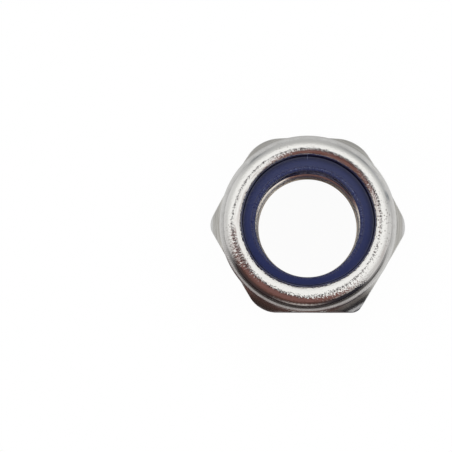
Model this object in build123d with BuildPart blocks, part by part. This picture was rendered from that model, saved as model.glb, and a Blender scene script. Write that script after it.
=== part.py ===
"""Nylon insert lock nut, M16 x 2, 24 mm across flats and 16 mm high.

The steel body is one piece: a hexagonal blank, turned and cold formed, whose
collar is rolled in over the nylon ring to hold it. The ring is a second piece.
+Z is the thread axis, pointing to the nylon end, the origin is the centre of
the bearing face, and two of the corners lie on the X axis.
"""

import os
from math import atan2, cos, degrees, hypot, radians

from build123d import *

# Thread, ISO metric coarse
thread_diameter = 16.0
thread_pitch = 2.0
minor_diameter_factor = 1.0825  # pitches between the major and the minor diameter

# Hexagon
across_flats = 23.85
corner_rounding = 2.2
blunt_corner_rounding = 4.5
blunt_corners = (60, 120, 240)  # degrees round from +X, where the blank filled its die less
hex_height = 7.6  # full corners, up to where the crown begins

# Bearing face, at the bottom
bearing_face_diameter = 21.7
bearing_chamfer_height = 2.6
bearing_chamfer_bulge = 0.27
thread_mouth_diameter = 16.6

# Crown, from the corners in to the shoulder ring
crown_height = 3.85
shoulder_diameter = 24.24
shoulder_wall_height = 0.25  # the shoulder's edge stands on the crown
shoulder_height = 1.05
swell_height = 1.45  # crown's top down to where the shoulder runs out into the flats
neck_diameter = 22.3
neck_width = 0.15  # flat bottom of the groove below the collar

# Collar, rolled in over the ring
collar_diameter = 22.7
collar_base_height = 0.85  # shoulder's slope to the widest place
collar_roll_height = 2.4  # widest place to the crest
crest_diameter = 19.8
lip_opening_diameter = 17.6
lip_roll_drop = 0.95  # crest to the lip's edge
lip_edge_thickness = 0.35
lip_bend_height = 0.8  # pocket wall's bend in under the lip
pocket_diameter = 19.4

# Nylon ring
insert_bore_diameter = 14.3
insert_height = 3.5
insert_crown = 0.2  # how far its face stands above the lip's underside
insert_crown_run = 0.4
insert_edge_chamfer = 0.3
insert_lead_in = 0.35
insert_clearance = 0.02  # ring to pocket wall and to the lip's underside

# Room around the hexagon for the turned outline, and above it to turn it back
turning_margin = 0.03
bar_allowance = 1.0

# Radii worked out from the sizes above
minor_radius = (thread_diameter - minor_diameter_factor * thread_pitch) / 2
sharp_corner_radius = across_flats / 2 / cos(radians(30))
corner_radius = sharp_corner_radius - corner_rounding * (1 / cos(radians(30)) - 1)
turned_radius = corner_radius + turning_margin
bearing_radius = bearing_face_diameter / 2
mouth_radius = thread_mouth_diameter / 2
shoulder_radius = shoulder_diameter / 2
neck_radius = neck_diameter / 2
collar_radius = collar_diameter / 2
crest_radius = crest_diameter / 2
lip_radius = lip_opening_diameter / 2
pocket_radius = pocket_diameter / 2
insert_bore_radius = insert_bore_diameter / 2
insert_radius = pocket_radius - insert_clearance

# Heights, stacked up from the bearing face
crown_top_z = hex_height + crown_height
swell_z = crown_top_z - swell_height
shoulder_z = crown_top_z + shoulder_wall_height
neck_z = shoulder_z + shoulder_height
collar_foot_z = neck_z + neck_width
widest_z = neck_z + collar_base_height
crest_z = widest_z + collar_roll_height
lip_top_z = crest_z - lip_roll_drop
lip_under_z = lip_top_z - lip_edge_thickness
pocket_wall_top_z = lip_under_z - lip_bend_height
insert_shoulder_z = lip_under_z - insert_clearance
insert_face_z = lip_under_z + insert_crown
pocket_floor_z = insert_face_z - insert_height

# 90 degree countersinks, so each is as deep as it is wide
mouth_depth = mouth_radius - minor_radius
relief_depth = thread_diameter / 2 - minor_radius

# Steel body: a hexagonal blank under a turned and rolled outline
with BuildPart() as nut_body:
    with BuildSketch() as hexagon:
        RegularPolygon(across_flats / 2, 6, major_radius=False)
        blunt = hexagon.vertices().filter_by(
            lambda corner: round(degrees(atan2(corner.Y, corner.X))) % 360 in blunt_corners
        )
        fillet(blunt, blunt_corner_rounding)
        sharp = hexagon.vertices().group_by(lambda corner: hypot(corner.X, corner.Y))[-1]
        fillet(sharp, corner_rounding)
    extrude(amount=crest_z + bar_allowance)

    # The press that rolls the collar swells the flats' tops into a whole shoulder ring
    with BuildSketch(Plane.XZ) as swell_section:
        with BuildLine():
            Polyline(
                (0, swell_z),
                (across_flats / 2, swell_z),
                (shoulder_radius, crown_top_z),
                (shoulder_radius, crest_z),
                (0, crest_z),
                close=True,
            )
        make_face()
    revolve(axis=Axis.Z)

    with BuildSketch(Plane.XZ) as wall_section:
        with BuildLine():
            # Bearing face and its crowned chamfer
            Line((mouth_radius, 0), (bearing_radius, 0))
            SagittaArc(
                (bearing_radius, 0),
                (turned_radius, bearing_chamfer_height),
                -bearing_chamfer_bulge,
            )
            Line((turned_radius, bearing_chamfer_height), (turned_radius, hex_height))
            # Crown in to the shoulder ring, then the ring's wall and its slope up to the neck
            TangentArc(
                (turned_radius, hex_height),
                (shoulder_radius, crown_top_z),
                tangent=(0, 1),
            )
            Line((shoulder_radius, crown_top_z), (shoulder_radius, shoulder_z))
            Line((shoulder_radius, shoulder_z), (neck_radius, neck_z))
            Line((neck_radius, neck_z), (neck_radius, collar_foot_z))
            # Collar out to its widest place, over the crest and in to the lip
            TangentArc(
                (collar_radius, widest_z),
                (neck_radius, collar_foot_z),
                tangent=(0, -1),
            )
            EllipticalCenterArc(
                (crest_radius, widest_z),
                collar_radius - crest_radius,
                collar_roll_height,
                start_angle=0,
                arc_size=90,
            )
            TangentArc(
                (crest_radius, crest_z),
                (lip_radius, lip_top_z),
                tangent=(-1, 0),
            )
            Line((lip_radius, lip_top_z), (lip_radius, lip_under_z))
            # Pocket for the ring
            Line((lip_radius, lip_under_z), (pocket_radius, pocket_wall_top_z))
            Line((pocket_radius, pocket_wall_top_z), (pocket_radius, pocket_floor_z))
            Line((pocket_radius, pocket_floor_z), (thread_diameter / 2, pocket_floor_z))
            # Bore at the thread's minor diameter, countersunk at both ends
            Line(
                (thread_diameter / 2, pocket_floor_z),
                (minor_radius, pocket_floor_z - relief_depth),
            )
            Line((minor_radius, pocket_floor_z - relief_depth), (minor_radius, mouth_depth))
            Line((minor_radius, mouth_depth), (mouth_radius, 0))
        make_face()
    revolve(axis=Axis.Z, mode=Mode.INTERSECT)
nut_body.part.label = "nut_body"

# Nylon ring, trapped between the pocket's floor and the rolled lip
with BuildPart() as nylon_insert:
    with BuildSketch(Plane.XZ) as ring_section:
        with BuildLine():
            Polyline(
                (insert_bore_radius + insert_lead_in, pocket_floor_z),
                (insert_radius, pocket_floor_z),
                (insert_radius, pocket_wall_top_z),
                (lip_radius, insert_shoulder_z),
                (lip_radius - insert_crown_run, insert_face_z),
                (insert_bore_radius + insert_edge_chamfer, insert_face_z),
                (insert_bore_radius, insert_face_z - insert_edge_chamfer),
                (insert_bore_radius, pocket_floor_z + insert_lead_in),
                close=True,
            )
        make_face()
    revolve(axis=Axis.Z)
nylon_insert.part.label = "nylon_insert"

os.makedirs("parts", exist_ok=True)
export_step(nut_body.part, "parts/nut_body.step")
export_step(nylon_insert.part, "parts/nylon_insert.step")
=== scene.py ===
"""Nylon insert lock nut, M16 x 2: a stainless steel body and the nylon ring rolled into it."""

from math import acos, atan2, ceil, cos, degrees, hypot, pi, radians, sin, tan

import bmesh
import bpy
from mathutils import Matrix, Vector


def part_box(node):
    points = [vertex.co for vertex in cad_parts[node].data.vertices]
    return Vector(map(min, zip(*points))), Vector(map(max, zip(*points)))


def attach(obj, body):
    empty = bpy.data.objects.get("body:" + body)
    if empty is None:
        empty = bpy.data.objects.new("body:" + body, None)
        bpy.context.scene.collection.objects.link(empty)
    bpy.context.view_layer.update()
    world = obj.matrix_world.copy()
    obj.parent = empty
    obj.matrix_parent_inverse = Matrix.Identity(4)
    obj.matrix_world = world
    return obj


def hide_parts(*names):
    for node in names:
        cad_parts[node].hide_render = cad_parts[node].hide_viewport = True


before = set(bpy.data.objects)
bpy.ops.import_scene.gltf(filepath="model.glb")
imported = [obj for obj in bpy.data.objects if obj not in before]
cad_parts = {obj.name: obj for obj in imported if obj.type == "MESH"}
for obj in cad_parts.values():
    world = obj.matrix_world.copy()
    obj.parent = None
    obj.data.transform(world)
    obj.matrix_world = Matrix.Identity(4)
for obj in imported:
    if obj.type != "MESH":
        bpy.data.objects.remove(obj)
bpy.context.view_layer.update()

# Steel body. One piece of stainless bar, hexagonal, turned on its crown and collar, tapped
# M16 x 2, and rolled in over the ring. Tumbling has rounded the edges of its flats a little
# and polished the collar.
MM = 0.001  # all sizes are in millimetres in the nut's frame, Z up from the bearing face

nut_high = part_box("nut_body")[1]
crest_z = nut_high.z / MM
half_across_flats = 11.925
corner_radius = nut_high.x / MM
corner_roundings = (2.9, 4.9, 4.8, 2.0, 4.0, 1.3)  # from the corner on +X round by +Y
flat_offsets = (  # how far each flat stands out at its two ends, from the mean
    (-0.1, -0.02), (-0.17, -0.09), (-0.15, 0.01), (-0.09, -0.13), (-0.02, 0.02), (0.06, 0.2)
)
edge_round = 0.2

major_radius = 8.0
minor_radius = 6.9175
pitch = 2.0
thread_wear = 0.15
mouth_radius = 8.3

bearing_radius = 10.85
chamfer_height = 2.6
chamfer_bulge = 0.27

crown_z = 7.6
crown_top_z = 11.45
swell_z = 10.0
shoulder_radius = nut_high.y / MM
shoulder_z = 11.7
shoulder_round = 0.3  # in along its slope
shoulder_wall_round = 0.2  # down its wall
neck_radius = 11.15
neck_z = 12.75
neck_width = 0.15
neck_round = 0.06

collar_radius = 11.35
widest_z = 13.6
crest_radius = 9.9
lip_radius = 8.8
lip_top_z = 15.05
lip_under_z = 14.7
lip_edge_round = 0.09
pocket_radius = 9.7
pocket_wall_top_z = 13.9
pocket_floor_z = 11.4

turning_margin = 0.03  # how far outside the corners the turned arcs begin
turned_radius = corner_radius + turning_margin

weld_distance = 0.002  # rows that meet in one place are joined
crease_angle = 38  # degrees, from which an edge is shaded crisp


def between(a, b, share):
    """The point or number that lies a share of the way from a to b."""
    if isinstance(a, tuple):
        return tuple(between(p, q, share) for p, q in zip(a, b))
    return a + (b - a) * share


def round_over(before, corner, after, steps=4):
    """Points of the small round that takes a corner's place."""
    points = []
    for i in range(steps + 1):
        t = i / steps
        points.append(between(between(before, corner, t), between(corner, after, t), t))
    return points


def arc(centre, radii, start, end, steps):
    """Points along an ellipse between two angles in degrees, without the first."""
    points = []
    for i in range(1, steps + 1):
        turn = radians(between(start, end, i / steps))
        points.append((centre[0] + radii[0] * cos(turn), centre[1] + radii[1] * sin(turn)))
    return points


# The crowned chamfer at the bottom is an arc through the bearing face's edge and the corners
chamfer_run = turned_radius - bearing_radius
chamfer_chord = hypot(chamfer_run, chamfer_height)
chamfer_arc = chamfer_chord**2 / (8 * chamfer_bulge) + chamfer_bulge / 2
chamfer_centre = (
    (bearing_radius + turned_radius) / 2
    - chamfer_height / chamfer_chord * (chamfer_arc - chamfer_bulge),
    chamfer_height / 2 + chamfer_run / chamfer_chord * (chamfer_arc - chamfer_bulge),
)

# The crown is an arc that leaves the corners straight up and ends under the shoulder's wall
crown_drop = turned_radius - shoulder_radius
crown_arc = (crown_drop**2 + (crown_top_z - crown_z) ** 2) / (2 * crown_drop)
crown_centre = (turned_radius - crown_arc, crown_z)
crown_length = crown_arc * acos((shoulder_radius - crown_centre[0]) / crown_arc)
neck_edge = (neck_radius, neck_z)
slope_length = hypot(shoulder_radius - neck_radius, neck_z - shoulder_z)

# The collar's foot is an arc from the neck out to the collar's widest place
foot_run = collar_radius - neck_radius
foot_rise = widest_z - neck_z - neck_width
foot_arc = (foot_run**2 + foot_rise**2) / (2 * foot_run)
foot_turn = degrees(acos((foot_arc - foot_run) / foot_arc))


def on_chamfer(angle):
    """The chamfer's point at an angle round its arc."""
    return (
        chamfer_centre[0] + chamfer_arc * cos(angle),
        chamfer_centre[1] + chamfer_arc * sin(angle),
    )


def on_crown(travel):
    """The crown's point that far along it from the corners."""
    turn = travel / crown_arc
    return (crown_centre[0] + crown_arc * cos(turn), crown_centre[1] + crown_arc * sin(turn))


def hump(turn, middle, width):
    """1 at the middle, in degrees round the nut, and 0 from that width to either side on."""
    return max(0.0, 1 - abs(degrees(turn) % 360 - middle) / width)


def shoulder_place(turn):
    """The shoulder ring's radius at an angle: it swelled less on one side, and at one corner."""
    least_side, least_corner = radians(220), radians(300)
    side = 0.13 * max(0.0, cos(turn - least_side)) ** 1.5
    corner = 0.06 * max(0.0, cos(turn - least_corner)) ** 6
    return shoulder_radius - side - corner


def crest_place(turn):
    """The crest's radius at an angle: the roll set it further out towards the back, and in two
    short humps."""
    lean = 0.1 * max(-1.0, min(1.0, 2.5 * sin(turn)))
    left = 0.27 * hump(turn, 180, 18)
    front = 0.15 * hump(turn, 271, 22)
    return crest_radius + lean + left + front


def lip_place(turn):
    """The lip's inner radius at an angle: the roll was not quite central, and left one notch."""
    uneven = 0.25 * sin(turn) + 0.09 * cos(turn) + 0.07 * cos(2 * turn + 0.4)
    uneven += 0.055 * cos(3 * turn + 1.1)
    waves = 0.012 * sin(3 * turn + 0.6) + 0.01 * sin(8 * turn + 2) + 0.006 * sin(17 * turn)
    notch = 0.14 * hump(turn, 332.4, 1.2)
    return lip_radius + uneven + waves + notch


def outline(turn, hexagon_radius):
    """The outside at one angle round the nut, from the bearing face over the collar to the
    pocket's floor: a list of (finish, points)."""
    chamfer_start = -acos((bearing_radius - chamfer_centre[0]) / chamfer_arc)
    chamfer_end = -acos(min(1.0, (hexagon_radius - chamfer_centre[0]) / chamfer_arc))
    foot_of_flat = on_chamfer(chamfer_end)
    bearing_edge = (bearing_radius, 0.0)
    after_bearing = chamfer_start + edge_round / chamfer_arc
    before_flat = chamfer_end - edge_round / chamfer_arc

    # Rows near the ends of a flat stretch keep the shading of its rounded edges off it
    bearing = [(mouth_radius, 0.0), (mouth_radius + 0.05, 0.0), (bearing_radius - 1.0, 0.0)]
    bearing += round_over(
        (bearing_radius - edge_round, 0.0), bearing_edge, on_chamfer(after_bearing)
    )
    chamfer = [on_chamfer(between(after_bearing, before_flat, i / 8)) for i in range(1, 8)]
    lower_edge = round_over(
        on_chamfer(before_flat), foot_of_flat, (hexagon_radius, foot_of_flat[1] + edge_round)
    )

    # The press that rolls the collar swells the tops of the flats into a whole shoulder ring
    crown_steps = 10
    wall = shoulder_place(turn)
    wall_foot, wall_top = (wall, crown_top_z), (wall, shoulder_z)
    if hexagon_radius < shoulder_radius:
        share = (hexagon_radius - half_across_flats) / (wall - half_across_flats)
        share = min(max(share, 0.0), 1.0)
        flat_end = (hexagon_radius, between(swell_z, crown_top_z, share))
        upper_edge = [between(flat_end, wall_foot, i / 4) for i in range(5)]
        crown = [wall_foot] * crown_steps
    else:
        travel = crown_arc * acos(min(1.0, (hexagon_radius - crown_centre[0]) / crown_arc))
        small = min(edge_round, (crown_length - travel) / 3)
        top_of_flat = on_crown(travel)
        flat_end = (hexagon_radius, top_of_flat[1] - small)
        upper_edge = round_over(flat_end, top_of_flat, on_crown(travel + small))
        crown = []
        for i in range(1, crown_steps + 1):
            share = i / crown_steps
            r, z = on_crown(between(travel + small, crown_length, share))
            crown.append((r - (shoulder_radius - wall) * share**2, z))
    flat = [between(lower_edge[-1], flat_end, share) for share in (0.01, 0.25, 0.5, 0.75, 0.99)]

    slope_start = between(wall_top, neck_edge, shoulder_round / slope_length)
    slope_end = between(neck_edge, wall_top, neck_round / slope_length)
    edge_foot = (wall, shoulder_z - shoulder_wall_round)
    slope = [wall_foot] + round_over(edge_foot, wall_top, slope_start, 6)
    slope += [between(slope_start, slope_end, i / 4) for i in range(1, 5)]
    neck = round_over(slope_end, neck_edge, (neck_radius, neck_z + neck_round))
    neck.append((neck_radius, neck_z + neck_width - neck_round))

    foot_centre = (collar_radius - foot_arc, widest_z)
    collar = arc(foot_centre, (foot_arc, foot_arc), -foot_turn, 0, 7)
    crest, lip = crest_place(turn), lip_place(turn)
    collar += arc((crest, widest_z), (collar_radius - crest, crest_z - widest_z), 0, 90, 28)
    lip_run, lip_drop = crest - lip, crest_z - lip_top_z
    lip_arc = (lip_run**2 + lip_drop**2) / (2 * lip_drop)
    lip_turn = degrees(acos(1 - lip_drop / lip_arc))
    collar += arc((crest, crest_z - lip_arc), (lip_arc, lip_arc), 90, 90 + lip_turn, 16)
    collar += round_over(
        (lip, lip_top_z), (lip, lip_under_z), (lip + 2 * lip_edge_round, lip_under_z), 3
    )
    pocket = [(pocket_radius, pocket_wall_top_z), (pocket_radius, pocket_floor_z)]
    pocket.append((major_radius, pocket_floor_z))
    return [
        ("bearing", bearing + chamfer),
        ("flats", lower_edge[1:] + flat + upper_edge),
        ("turned", crown),
        ("shoulder", slope + neck[1:]),
        ("collar", collar),
        ("turned", pocket),
    ]


def thread_radius(z, turn):
    """The tapped hole's radius at a height and an angle, with its countersink at each end. Its
    crests are worn back a little towards the ring, most on one side."""
    crest_half = pitch / 8
    flank = (major_radius - minor_radius) * tan(radians(30))
    place = abs(((z - turn / (2 * pi) * pitch) / pitch + 0.5) % 1 - 0.5) * pitch
    depth = (place - crest_half) / flank
    worn_back = thread_wear * (1 - sin(turn)) * max(z - pitch, 0) / (pocket_floor_z - pitch)
    radius = between(minor_radius + worn_back, major_radius, min(max(depth, 0.0), 1.0))
    return max(radius, mouth_radius - z, major_radius - pocket_floor_z + z)


# Where the thread has its rows, in millimetres from the middle of a crest
thread_rows = (-0.29, -0.24, -0.18, 0.18, 0.24, 0.29, 0.82, 0.93, 1.07, 1.18)
rows_per_turn = len(thread_rows)
thread_turns = ceil(pocket_floor_z / pitch)


def thread_column(turn):
    """The thread at one angle round the nut, from the bearing face up to the ring."""
    points = []
    for coil in range(-1, thread_turns + 1):
        for row in thread_rows:
            z = coil * pitch + row + turn / (2 * pi) * pitch
            z = min(max(z, 0.0), pocket_floor_z)
            points.append((thread_radius(z, turn), z))
    return points


def columns(flat_steps, corner_steps):
    """(angle, radius) of the points round the hexagon. Two of its rounded corners lie on the X
    axis, and none reaches further along it than corner_radius."""
    sharp_corner = half_across_flats / cos(radians(30))
    points = []
    for side in range(6):
        middle = radians(30 + 60 * side)
        start = corner_roundings[side] * tan(radians(30)) - sharp_corner / 2
        rounding = corner_roundings[(side + 1) % 6]
        end = sharp_corner / 2 - rounding * tan(radians(30))
        offset, last_offset = flat_offsets[side]
        next_offset = flat_offsets[(side + 1) % 6][0]
        for i in range(flat_steps):
            along = between(start, end, i / flat_steps)
            out = between(offset, last_offset, i / flat_steps)
            radius = hypot(along, half_across_flats) + out
            points.append((middle + atan2(along, half_across_flats), radius))
        corner_centre = sharp_corner - rounding / cos(radians(30))
        for i in range(corner_steps):
            turn = radians(between(-30, 30, i / corner_steps))
            across = corner_centre + rounding * cos(turn)
            along = rounding * sin(turn)
            out = between(last_offset, next_offset, i / corner_steps)
            radius = hypot(across, along) + out
            turn = middle + radians(30) + atan2(along, across)
            furthest = corner_radius / abs(cos(turn))
            points.append((turn, min(radius, furthest)))
    return points


finishes = ["bearing", "flats", "turned", "shoulder", "collar", "thread"]
around = columns(flat_steps=64, corner_steps=16)
vertices = []
row_finish = []
for turn, hexagon_radius in around:
    sections = outline(turn, hexagon_radius)
    sections.append(("thread", thread_column(turn % (2 * pi))))
    if not row_finish:
        row_finish = [finishes.index(name) for name, points in sections for _ in points]
    for name, points in sections:
        vertices += [(r * cos(turn) * MM, r * sin(turn) * MM, z * MM) for r, z in points]

# A face joins each two points of a column to the next column's. The thread climbs by a pitch
# in each turn, so at the seam its rows meet those of the coil above. Nothing joins the last
# row of the outside to the thread's first, which is at the other end of the hole.
rows = len(row_finish)
outside_rows = row_finish.index(finishes.index("thread"))
last_row = rows - 1
seam = next(i for i, (turn, _) in enumerate(around) if turn >= 2 * pi)
faces = []
face_finish = []
for column in range(len(around)):
    beside = (column + 1) % len(around)
    lift = rows_per_turn if column + 1 == seam else 0
    for row in range(last_row):
        if row == outside_rows - 1:
            continue
        step = lift if row >= outside_rows else 0
        low, high = min(row + step, last_row), min(row + 1 + step, last_row)
        face = (column * rows + row, beside * rows + low,
                beside * rows + high, column * rows + row + 1)
        faces.append(face)
        face_finish.append(row_finish[row + 1])

nut_mesh = bpy.data.meshes.new("nut")
nut_mesh.from_pydata(vertices, [], faces)
nut_mesh.polygons.foreach_set("material_index", face_finish)
shape = bmesh.new()
shape.from_mesh(nut_mesh)
bmesh.ops.remove_doubles(shape, verts=shape.verts, dist=weld_distance * MM)
bmesh.ops.recalc_face_normals(shape, faces=shape.faces)
shape.to_mesh(nut_mesh)
shape.free()
nut_mesh.polygons.foreach_set("use_smooth", [True] * len(nut_mesh.polygons))
nut_mesh.set_sharp_from_angle(angle=radians(crease_angle))
nut = bpy.data.objects.new("nut", nut_mesh)
bpy.context.collection.objects.link(nut)
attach(nut, "root")
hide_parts("nut_body")


def grey(level):
    """A neutral colour, from 0, black, to 1, white."""
    return (level, level, level, 1.0)


class Socket:
    """A node's output. Arithmetic on it adds Math nodes, and add() adds any other node."""

    def __init__(self, tree, output=None):
        self.tree = tree
        self.output = output

    def add(self, kind, settings=None, sockets=None, output=0):
        node = self.tree.nodes.new(kind)
        for name, value in (settings or {}).items():
            if name == "stops":
                ramp = node.color_ramp.elements
                while len(ramp) < len(value):
                    ramp.new(0.5)
                for stop, (place, shade) in zip(ramp, value):
                    stop.position = place
                    stop.color = (*shade, 1) if isinstance(shade, tuple) else grey(shade)
            else:
                setattr(node, name, value)
        for name, value in (sockets or {}).items():
            if isinstance(value, Socket):
                self.tree.links.new(value.output, node.inputs[name])
            else:
                node.inputs[name].default_value = value
        return Socket(self.tree, node.outputs[output] if len(node.outputs) else None)

    def other(self, name):
        """Another output of the node that this is from."""
        return Socket(self.tree, self.output.node.outputs[name])

    def math(self, operation, *others):
        sockets = dict(enumerate((self, *others)))
        return self.add("ShaderNodeMath", {"operation": operation}, sockets)

    def __add__(self, other):
        return self.math("ADD", other)

    def __sub__(self, other):
        return self.math("SUBTRACT", other)

    def __mul__(self, other):
        return self.math("MULTIPLY", other)

    def __truediv__(self, other):
        return self.math("DIVIDE", other)

    def __radd__(self, other):
        return self.math("ADD", other)

    def __rsub__(self, other):
        return self.add("ShaderNodeMath", {"operation": "SUBTRACT"}, {0: other, 1: self})

    def __rmul__(self, other):
        return self.math("MULTIPLY", other)

    def fade(self, start, end):
        """Goes softly from 0 at start to 1 at end, which may be the lower of the two."""
        sockets = {"Value": self, "From Min": start, "From Max": end}
        return self.add("ShaderNodeMapRange", {"interpolation_type": "SMOOTHSTEP"}, sockets)

    def near(self, middle, width):
        """1 at the middle, fading to 0 that far to either side of it."""
        return (self - middle).math("ABSOLUTE").fade(width, 0.0)

    def blend(self, low, high):
        """The colour low where this is 0 and high where it is 1."""
        sockets = {0: self, 6: low, 7: high}
        return self.add("ShaderNodeMix", {"data_type": "RGBA"}, sockets, 2)

    def ramp(self, *stops):
        """A value or colour that goes in straight lines through (from, to) pairs."""
        start, end = stops[0][0], stops[-1][0]
        places = [(at - start) / (end - start) for at, _ in stops]
        share = (self - start) / (end - start)
        if isinstance(stops[0][1], tuple):
            settings = {"stops": [(place, colour) for place, (_, colour) in zip(places, stops)]}
            return self.add("ShaderNodeValToRGB", settings, {0: share})
        largest = max(level for _, level in stops)
        settings = {"stops": [(place, level / largest) for place, (_, level) in zip(places, stops)]}
        return self.add("ShaderNodeValToRGB", settings, {0: share}) * largest

    def grain(self, scale, detail=2.0, roughness=0.5):
        """Noise at this place, from 0 to 1, so many lumps to a millimetre."""
        sockets = {"Vector": self, "Scale": scale, "Detail": detail, "Roughness": roughness}
        return self.add("ShaderNodeTexNoise", {}, sockets)

    def relief(self, height, normal=None):
        """The normal of a surface that this lifts by up to a height in millimetres."""
        sockets = {"Height": self, "Distance": height * MM, "Strength": 1.0}
        if normal:
            sockets["Normal"] = normal
        return self.add("ShaderNodeBump", {}, sockets)


def new_material(name):
    """An empty material, and its socket for where on the object a point lies, in mm."""
    material = bpy.data.materials.new(name)
    material.use_nodes = True
    material.node_tree.nodes.clear()
    start = Socket(material.node_tree)
    place = start.add("ShaderNodeTexCoord", output="Object")
    sockets = {0: place, "Scale": 1 / MM}
    return material, start.add("ShaderNodeVectorMath", {"operation": "SCALE"}, sockets)


def surface(material, place, **sockets):
    """Ends a material in one shader with these sockets, their names written with _ for spaces."""
    named = {name.replace("_", " "): value for name, value in sockets.items()}
    shader = place.add("ShaderNodeBsdfPrincipled", {}, named)
    place.add("ShaderNodeOutputMaterial", {}, {"Surface": shader})
    return material


def round_the_axis(place):
    """(distance from the axis, angle round it, height) of a point, in mm and degrees."""
    x = place.add("ShaderNodeSeparateXYZ", {}, {0: place}, 0)
    y = x.other("Y")
    radius = (x * x + y * y).math("SQRT")
    return radius, y.math("ARCTAN2", x) * (180 / pi), x.other("Z")


def towards_back(angle):
    """From -1 at the front, on -Y, to 1 at the back."""
    return (angle * (pi / 180)).math("SINE")


def spread(radius, angle, height, around, across):
    """A place for noise that is stretched: lumps per mm round the axis, and out from it."""
    mm_per_degree = 0.19  # round the collar
    sockets = {0: angle * (mm_per_degree * around), 1: radius * across, 2: height * across}
    return radius.add("ShaderNodeCombineXYZ", {}, sockets)


def pits(place, per_mm, share):
    """1 in small round pits, so many cells to a millimetre, in that share of the cells."""
    cell = place.add("ShaderNodeTexVoronoi", {}, {"Vector": place, "Scale": per_mm})
    chosen = cell.add("ShaderNodeSeparateColor", {}, {0: cell.other("Color")})
    return cell.fade(0.3, 0.15) * chosen.fade(1 - share, 1.04 - share)


# The rolled collar, burnished by the roll and by tumbling. It keeps an orange peel, which
# shows where it mirrors something dark, fine pits, most of them on one side, streaks drawn
# round it, and a patch that the roll scuffed. Stains have gathered low on it, and shade is
# painted there towards the groove, darkest at the front.
burnished = (0.86, 0.85, 0.82, 1.0)
pit_brown = (0.2, 0.16, 0.14, 1.0)
scuff_brown = (0.28, 0.2, 0.19, 1.0)
speck_black = (0.07, 0.06, 0.06, 1.0)
streak_brown = (0.36, 0.25, 0.23, 1.0)
groove_shade_black = (0.045, 0.035, 0.038, 1.0)
stain_grey = (0.14, 0.16, 0.17, 1.0)

material, place = new_material("burnished collar")
radius, angle, height = round_the_axis(place)
front = towards_back(angle).fade(0.35, -0.5)

# The peel is coarser on the front of the crest and finer down the outside
coarse = 0.75 + 0.35 * angle.near(-80.0, 120.0).fade(0.1, 0.5) * radius.near(9.85, 0.8)
worked = 0.25 + 0.75 * height.fade(14.8, 15.6)
peel = place.grain(3.9, 1.0) * coarse * worked
strokes = spread(radius, angle, height, 5.5, 2.2).grain(1.0, 1.0)

right_side = angle.near(-3.0, 36.0)
clusters = place.grain(0.16, 2.0).fade(0.5, 0.62)
pitted = pits(place, 2.8, 0.7) * (right_side * 0.9 + clusters * 0.5)
specks = pits(place, 3.4, 0.7) * angle.near(-95.0, 95.0).fade(0.0, 0.2) * radius.near(10.0, 0.55)
scuffed = angle.near(-158.0, 24.0).fade(0.0, 0.4) * radius.near(9.95, 0.55).fade(0.0, 0.6)
scuffed *= strokes.fade(0.36, 0.5)
drawn = spread(radius, angle, height, 0.35, 4.5).grain(1.0, 3.0, 0.6).fade(0.42, 0.66)
drawn *= front * height.fade(15.8, 15.3) + (1 - front) * radius.fade(9.9, 9.6)

# Painted shade low on the collar towards the groove, darkest at the front
groove_shade = front.fade(0.7, 1.0) * (0.2 * height.fade(13.6, 13.1) + 0.8 * height.fade(14.9, 14.6))
groove_shade += height.fade(14.8, 14.0) * 0.25 * (1 - front)
spots = angle.near(19.0, 5.0) + angle.near(48.0, 9.0) + angle.near(129.0, 8.0)
grime = angle.near(38.0, 44.0).fade(0.0, 0.5) + angle.near(129.0, 22.0)
dark_patches = 0.8 * spots * height.fade(15.3, 14.5) + 0.5 * grime * height.fade(15.8, 14.8)

steel = pitted.blend(burnished, pit_brown)
steel = (0.85 * scuffed).blend(steel, scuff_brown)
steel = specks.blend(steel, speck_black)
steel = (0.5 * drawn).blend(steel, streak_brown)
steel = groove_shade.blend(steel, groove_shade_black)
collar_steel = surface(
    material, place,
    Base_Color=dark_patches.blend(steel, stain_grey),
    Metallic=1.0,
    Roughness=0.09 + 0.06 * place.grain(5.0) + 0.15 * scuffed + 0.2 * groove_shade,
    Normal=pitted.relief(-0.02, (strokes * worked).relief(0.02, peel.relief(0.07))),
)

# The shoulder ring, where the roll rubbed: dull, with its fine slanting marks, and shiny only
# round its edge. Shade is painted in the groove above it, most of it at the front.
dull_steel = (0.56, 0.555, 0.54, 1.0)
pale_steel = (0.66, 0.655, 0.64, 1.0)
shoulder_groove_shade = (0.07, 0.065, 0.06, 1.0)
shoulder_stain = (0.1, 0.13, 0.15, 1.0)
shiny_edge = (0.8, 0.79, 0.77, 1.0)

material, place = new_material("rubbed shoulder")
radius, angle, height = round_the_axis(place)
front = towards_back(angle).fade(-0.25, -0.6)
marks = 0.5 + 0.5 * (angle * 4.5 + radius * 7.0).math("SINE")
uneven = place.grain(1.1, 3.0)
edge = radius.fade(11.74, 11.9)
# Painted shade in the groove above the ring, most of it at the front
groove_shade = radius.fade(11.66, 11.42) * (0.2 + 0.8 * front)
dark_patches = (angle.near(19.0, 5.0) + angle.near(129.0, 5.0) * 0.5) * radius.fade(11.65, 11.5)
dull = uneven.fade(0.3, 0.7).blend(dull_steel, pale_steel)
dull = groove_shade.blend(dull, shoulder_groove_shade)
dull = (dark_patches * 0.8).blend(dull, shoulder_stain)
shoulder_steel = surface(
    material, place,
    Base_Color=edge.blend(dull, shiny_edge),
    Metallic=0.5 + 0.5 * edge,
    Roughness=0.42 + 0.12 * uneven - 0.26 * edge,
    Normal=(marks * uneven * (1 - edge)).relief(0.025),
)

# The turned crown and the pocket: lathe marks round the axis, oxidised a little brown, with
# shade painted darker at the front, and rubbed matt low down towards the corners.
brown_oxide = (0.49, 0.475, 0.44, 1.0)
pale_oxide = (0.63, 0.62, 0.59, 1.0)
front_shade_grey = (0.2, 0.2, 0.19, 1.0)
rubbed_grey = (0.7, 0.7, 0.69, 1.0)

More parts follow.
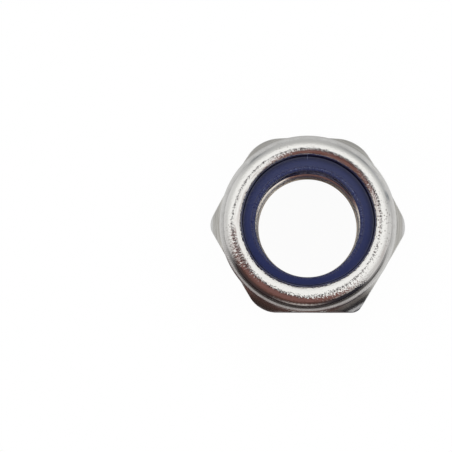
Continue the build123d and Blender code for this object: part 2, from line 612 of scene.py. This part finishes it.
material, place = new_material("turned crown")
radius, angle, height = round_the_axis(place)
lathe = spread(radius, angle, height, 0.35, 4.0).grain(1.0, 4.0, 0.6)
rubbed = height.fade(10.3, 9.4)
# Painted shade: the front of the crown is darkened
front_shade = 0.7 * angle.near(-90.0, 60.0).fade(0.0, 0.4)
oxide_and_shade = front_shade.blend(lathe.fade(0.3, 0.7).blend(brown_oxide, pale_oxide), front_shade_grey)
crown_steel = surface(
    material, place,
    Base_Color=rubbed.blend(oxide_and_shade, rubbed_grey),
    Metallic=0.97 - 0.6 * rubbed,
    Roughness=0.2 + 0.1 * lathe + 0.15 * rubbed,
    Normal=lathe.relief(0.025),
)

# The flats, as the bar came from the die: satin and wrinkled, with fine pits in patches, and
# polished towards the corners, where the tumbling reached.
satin_steel = (0.82, 0.81, 0.79, 1.0)
flat_pit = (0.34, 0.31, 0.29, 1.0)

material, place = new_material("pitted flats")
angle = round_the_axis(place)[1]
from_middle = ((angle / 60.0).math("FRACT") - 0.5) * (pi / 3)
along_flat = from_middle.math("TANGENT") * half_across_flats
untouched = along_flat.math("ABSOLUTE").fade(5.9, 4.9)
patches = place.grain(0.3, 2.0)
pitted = pits(place, 3.4, 0.7) * patches.fade(0.4, 0.58) * untouched
fine_grain = place.grain(7.0, 2.0).relief(0.006)
wrinkles = (place.grain(3.4, 3.0, 0.6) * untouched).relief(0.06, fine_grain)
flat_steel = surface(
    material, place,
    Base_Color=pitted.blend(satin_steel, flat_pit),
    Metallic=1.0,
    Roughness=0.16 + 0.2 * patches * untouched,
    Normal=pitted.relief(-0.012, wrinkles),
)

# The tapped thread: cut, and a little brown. Shade is painted low in its mouth on one side,
# and under the ring a painted shade that mirrors the nylon's blue.
cut_brown = (0.84, 0.76, 0.66, 1.0)
cut_bright = (0.97, 0.9, 0.81, 1.0)
mouth_shade_brown = (0.25, 0.2, 0.18, 1.0)
under_ring_shade_blue = (0.24, 0.25, 0.42, 1.0)

material, place = new_material("tapped thread")
radius, angle, height = round_the_axis(place)
# Painted shade low in the mouth, on one side
dark_patches = 0.75 * height.fade(4.5, 3.0) * angle.near(55.0, 56.0).fade(0.0, 0.2)
# Painted shade under the ring, blue as if it mirrored the nylon
under_ring_shade = height.fade(9.3, 9.9) * angle.near(95.0, 85.0).fade(0.0, 0.35)
cut = dark_patches.blend(place.grain(1.2).blend(cut_brown, cut_bright), mouth_shade_brown)
thread_steel = surface(
    material, place,
    Base_Color=under_ring_shade.blend(cut, under_ring_shade_blue),
    Metallic=1.0,
    Roughness=0.13 + 0.08 * place.grain(4.0),
    Normal=place.grain(5.0, 3.0).relief(0.008),
)

# The bearing face and its chamfer, faced on the lathe.
faced_dark = (0.7, 0.69, 0.67, 1.0)
faced_bright = (0.84, 0.83, 0.81, 1.0)

material, place = new_material("faced underside")
rings = spread(*round_the_axis(place), 0.2, 6.0).grain(1.0, 3.0)
bearing_steel = surface(
    material, place,
    Base_Color=rings.blend(faced_dark, faced_bright),
    Metallic=1.0,
    Roughness=0.22 + 0.16 * rings,
    Normal=rings.relief(0.015),
)

# In the order of the finishes above
for finish in (bearing_steel, flat_steel, crown_steel, shoulder_steel, collar_steel, thread_steel):
    nut_mesh.materials.append(finish)


# Nylon ring. A moulded washer of dark blue polyamide, dropped into its pocket and held down
# by the rolled lip, which its face follows.
ring_low, ring_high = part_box("nylon_insert")
ring_radius = ring_high.x / MM
ring_floor_z = ring_low.z / MM
ring_face_z = ring_high.z / MM
ring_bore_radius = 7.12
ring_bore_oval = 0.09
ring_bore_shift = 0.135  # how far the bore lies off centre, to the front
ring_shoulder_drop = 0.02  # from the lip's underside
ring_shoulder_z = lip_under_z - ring_shoulder_drop
ring_clearance = 0.01  # to the lip
ring_crown_run = 0.07
ring_face_fall = 0.045  # from the bore out to the lip, most of it near the bore
ring_edge_round = 0.22
ring_lead_in = 0.35
ring_bore_taper = 0.12  # how much wider the bore is at its foot
ring_crease_angle = 35


def ring_section(turn):
    """The ring's section at an angle, once round from its bore's foot: a list of (r, z)."""
    bore = ring_bore_radius - ring_bore_oval * cos(2 * turn) - ring_bore_shift * sin(turn)
    shoulder = (lip_place(turn) - ring_clearance, ring_shoulder_z)
    face_edge = (shoulder[0] - ring_crown_run, ring_face_z - ring_face_fall)
    inner_edge = (bore + ring_edge_round, ring_face_z)
    face = []
    for i in range(1, 9):
        share = i / 8
        rise = ring_face_fall * share**1.5
        face.append((between(face_edge[0], inner_edge[0], share), face_edge[1] + rise))
    points = [(bore + ring_bore_taper + ring_lead_in, ring_floor_z), (ring_radius, ring_floor_z)]
    points.append((ring_radius, pocket_wall_top_z))
    points.append(shoulder)
    points += round_over(between(shoulder, face_edge, 0.7), face_edge, face[0]) + face[1:]
    edge_centre = (inner_edge[0], ring_face_z - ring_edge_round)
    points += arc(edge_centre, (ring_edge_round, ring_edge_round), 90, 180, 6)
    points.append((bore + ring_bore_taper, ring_floor_z + ring_lead_in))
    return points


ring_columns = 360
vertices = []
for i in range(ring_columns):
    turn = 2 * pi * i / ring_columns
    section = ring_section(turn)
    vertices += [(r * cos(turn) * MM, r * sin(turn) * MM, z * MM) for r, z in section]
faces = []
for i in range(ring_columns):
    beside = (i + 1) % ring_columns
    for row in range(len(section)):
        above = (row + 1) % len(section)
        faces.append((i * len(section) + row, beside * len(section) + row,
                      beside * len(section) + above, i * len(section) + above))
ring_mesh = bpy.data.meshes.new("nylon ring")
ring_mesh.from_pydata(vertices, [], faces)
ring_mesh.polygons.foreach_set("use_smooth", [True] * len(ring_mesh.polygons))
ring_mesh.set_sharp_from_angle(angle=radians(ring_crease_angle))
ring = bpy.data.objects.new("nylon_ring", ring_mesh)
bpy.context.collection.objects.link(ring)
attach(ring, "root")
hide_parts("nylon_insert")

# The nylon is deep blue and a little cloudy. Its face is trimmed ragged beside the bore, where
# glints and a dark line are painted on the edge. Shade is painted on it towards the lip, where
# a pale line is left from the mould.
deep_blue = (0.019, 0.026, 0.094, 1.0)
cloudy_blue = (0.024, 0.033, 0.113, 1.0)
lip_shade_blue = (0.004, 0.006, 0.032, 1.0)
edge_shade_blue = (0.01, 0.014, 0.075, 1.0)
glint_blue = (0.12, 0.15, 0.3, 1.0)
mould_line_blue = (0.06, 0.07, 0.16, 1.0)

material, place = new_material("blue nylon")
radius, angle, height = round_the_axis(place)
trimmed = radius.fade(7.65, 7.45)
mould_line = angle.near(90.0, 0.7) * radius.fade(8.45, 8.65)
ragged = spread(radius, angle, height, 3.0, 1.0).grain(1.0, 2.0).fade(0.35, 0.65)
# Painted glints on the trimmed edge beside the bore, on its lit side
edge_glints = spread(radius, angle, height, 4.0, 2.0).grain(1.0, 2.0).fade(0.5, 0.64)
edge_glints *= radius.near(7.4, 0.1) * angle.near(70.0, 110.0).fade(0.0, 0.3)
# Painted shade towards the lip, most of it at the back
rim = 0.75 * towards_back(angle).fade(-0.9, 0.1) * radius.fade(8.0, 8.9)
blue = place.grain(0.35, 3.0).blend(deep_blue, cloudy_blue)
blue = rim.blend(blue, lip_shade_blue)
# Painted shade: a dark line just outside the bore's edge
blue = radius.near(7.53, 0.1).blend(blue, edge_shade_blue)
blue = edge_glints.blend(blue, glint_blue)
ring_mesh.materials.append(surface(
    material, place,
    Base_Color=mould_line.blend(blue, mould_line_blue),
    Roughness=0.12 + 0.06 * place.grain(2.5) + 0.2 * radius.fade(7.2, 7.1),
    IOR=1.53,
    Normal=(ragged * trimmed).relief(0.1, place.grain(5.0, 3.0).relief(0.012)),
))


# The studio: a small pale floor under a white sky, with one dark side and a dark shape overhead
# for the steel to mirror. It is no part of the nut.
floor_radius = 32.0
floor_shadow_radius = 17.0  # from here out to its rim it fades to plain white
floor_mesh = bpy.data.meshes.new("floor")
shape = bmesh.new()
bmesh.ops.create_circle(shape, cap_ends=True, radius=floor_radius * MM, segments=96)
shape.to_mesh(floor_mesh)
shape.free()
floor = bpy.data.objects.new("floor", floor_mesh)
bpy.context.collection.objects.link(floor)
floor.location.z = -0.01 * MM  # so that it doesn't share a plane with the bearing face
floor.visible_glossy = False

# It is white to the camera and keeps a faint shadow near the nut. Seen from below, it is clear.
floor_paint = 0.05
sky_level = 0.95  # what lights the floor, and all else that isn't a mirror
material, place = new_material("white floor")
camera_ray = place.add("ShaderNodeLightPath", {}, {}, "Is Camera Ray")
paint = place.add("ShaderNodeBsdfDiffuse", {}, {"Color": grey(floor_paint)})
glow_colour = camera_ray.blend(grey(0.0), grey(1 - floor_paint * sky_level))
glow = place.add("ShaderNodeEmission", {}, {"Color": glow_colour})
painted = place.add("ShaderNodeAddShader", {}, {0: paint, 1: glow})
white_colour = camera_ray.blend(grey(0.0), grey(1.0))
white = place.add("ShaderNodeEmission", {}, {"Color": white_colour})
rim = round_the_axis(place)[0].fade(floor_shadow_radius, floor_radius - 1)
from_above = place.add("ShaderNodeMixShader", {}, {0: rim, 1: painted, 2: white})
clear = place.add("ShaderNodeBsdfTransparent")
from_below = place.add("ShaderNodeNewGeometry").other("Backfacing") * camera_ray
floor_shader = place.add("ShaderNodeMixShader", {}, {0: from_below, 1: from_above, 2: clear})
place.add("ShaderNodeOutputMaterial", {}, {"Surface": floor_shader})
floor_mesh.materials.append(material)

world = bpy.data.worlds.new("studio")
bpy.context.scene.world = world
world.use_nodes = True
world.node_tree.nodes.clear()
sky = Socket(world.node_tree)
direction = sky.add("ShaderNodeTexCoord", output="Generated")
x = sky.add("ShaderNodeSeparateXYZ", {}, {0: direction}, 0)
y = x.other("Y")
z = x.other("Z")

# Degrees down from overhead, and round from -Y to the right
polar = z.math("ARCCOSINE") * (180 / pi)
azimuth = x.math("ARCTAN2", y * -1.0) * (180 / pi)

# The white ceiling, fading down the walls, brighter at both sides, and the white table
behind = polar.ramp((0, 1.0), (50, 1.0), (68, 0.93), (76, 0.866), (88, 0.72), (100, 0.606),
                    (115, 0.55), (131, 0.5), (180, 0.5))
windows = polar.ramp((0, 1.0), (50, 1.0), (68, 0.95), (80, 0.89), (95, 0.77), (109, 0.7),
                     (130, 0.67), (180, 0.67))
side = (x * x / (x * x + y * y)).fade(0.15, 0.8)
daylight = side.blend(behind, windows)

# The dark side, and how far down from overhead it begins, by azimuth
dark_from = azimuth.ramp((-8, 0), (0, 2), (11, 25), (24, 45), (36, 75), (47, 135), (60, 180))
dark_overhead = azimuth.fade(-95.0, -85.0) * polar.fade(42.0, 34.0)
dark_left = azimuth.fade(-78.0, -64.0).math("MAXIMUM", dark_overhead)
dark_side = (polar - dark_from).fade(-3.0, 6.0) * dark_left

# It is brown, darker low down and cold to the right, and a pale table's edge and end cross it
overhead_black = (0.07, 0.055, 0.06)
wall_brown = (0.2, 0.1, 0.09)
brown = polar.ramp((0, overhead_black), (22, overhead_black), (36, wall_brown), (82, wall_brown),
                   (102, (0.11, 0.055, 0.045)), (130, (0.06, 0.042, 0.042)),
                   (180, (0.035, 0.025, 0.03)))
cold = azimuth.fade(5.0, 30.0) * polar.fade(100.0, 115.0)
dark_colour = cold.blend(brown, (0.028, 0.028, 0.038, 1.0))
table_edge = polar.near(134.0, 11.0) * azimuth.near(-6.0, 26.0)
table_end = polar.near(101.0, 14.0) * azimuth.near(31.0, 15.0)
dark_colour = (table_edge + table_end).blend(dark_colour, (0.62, 0.58, 0.56, 1.0))
mirrored = dark_side.blend(daylight, dark_colour)

# The table under the nut, in its shadow
shadow = polar.fade(160.0, 171.0) * azimuth.near(-70.0, 60.0).fade(0.0, 0.4)
mirrored = shadow.blend(mirrored, (0.06, 0.055, 0.055, 1.0))

# The dark shape overhead, between the lamps
u = x / z + 0.02
v = y / z + 0.035
overhead = (u * u + v * v).fade(0.05, 0.026) * z.fade(0.0, 0.1)
mirrored = overhead.blend(mirrored, (0.07, 0.06, 0.065, 1.0))

# Only mirrors see all of that. The rest is lit by a plain sky, and the camera sees white.
camera_ray = sky.add("ShaderNodeLightPath", {}, {}, "Is Camera Ray")
seen = camera_ray.other("Is Diffuse Ray").blend(mirrored, grey(sky_level))
seen = camera_ray.blend(seen, grey(1.0))
shine = sky.add("ShaderNodeBackground", {}, {"Color": seen})
sky.add("ShaderNodeOutputWorld", {}, {"Surface": shine})

# The camera stands over the nut, a quarter of a metre up
scene = bpy.context.scene
scene.view_settings.view_transform = "Standard"
camera_data = bpy.data.cameras.new("camera")
camera_data.sensor_width = 36.0
camera_data.lens = 139.6
camera_data.clip_start = 0.01
camera_data.clip_end = 2.0
camera = bpy.data.objects.new("camera", camera_data)
camera.location = (0.0, -14.9 * MM, 250.0 * MM)
camera.rotation_euler = (radians(3.52), radians(2.67), 0.0)
bpy.context.collection.objects.link(camera)
scene.camera = camera
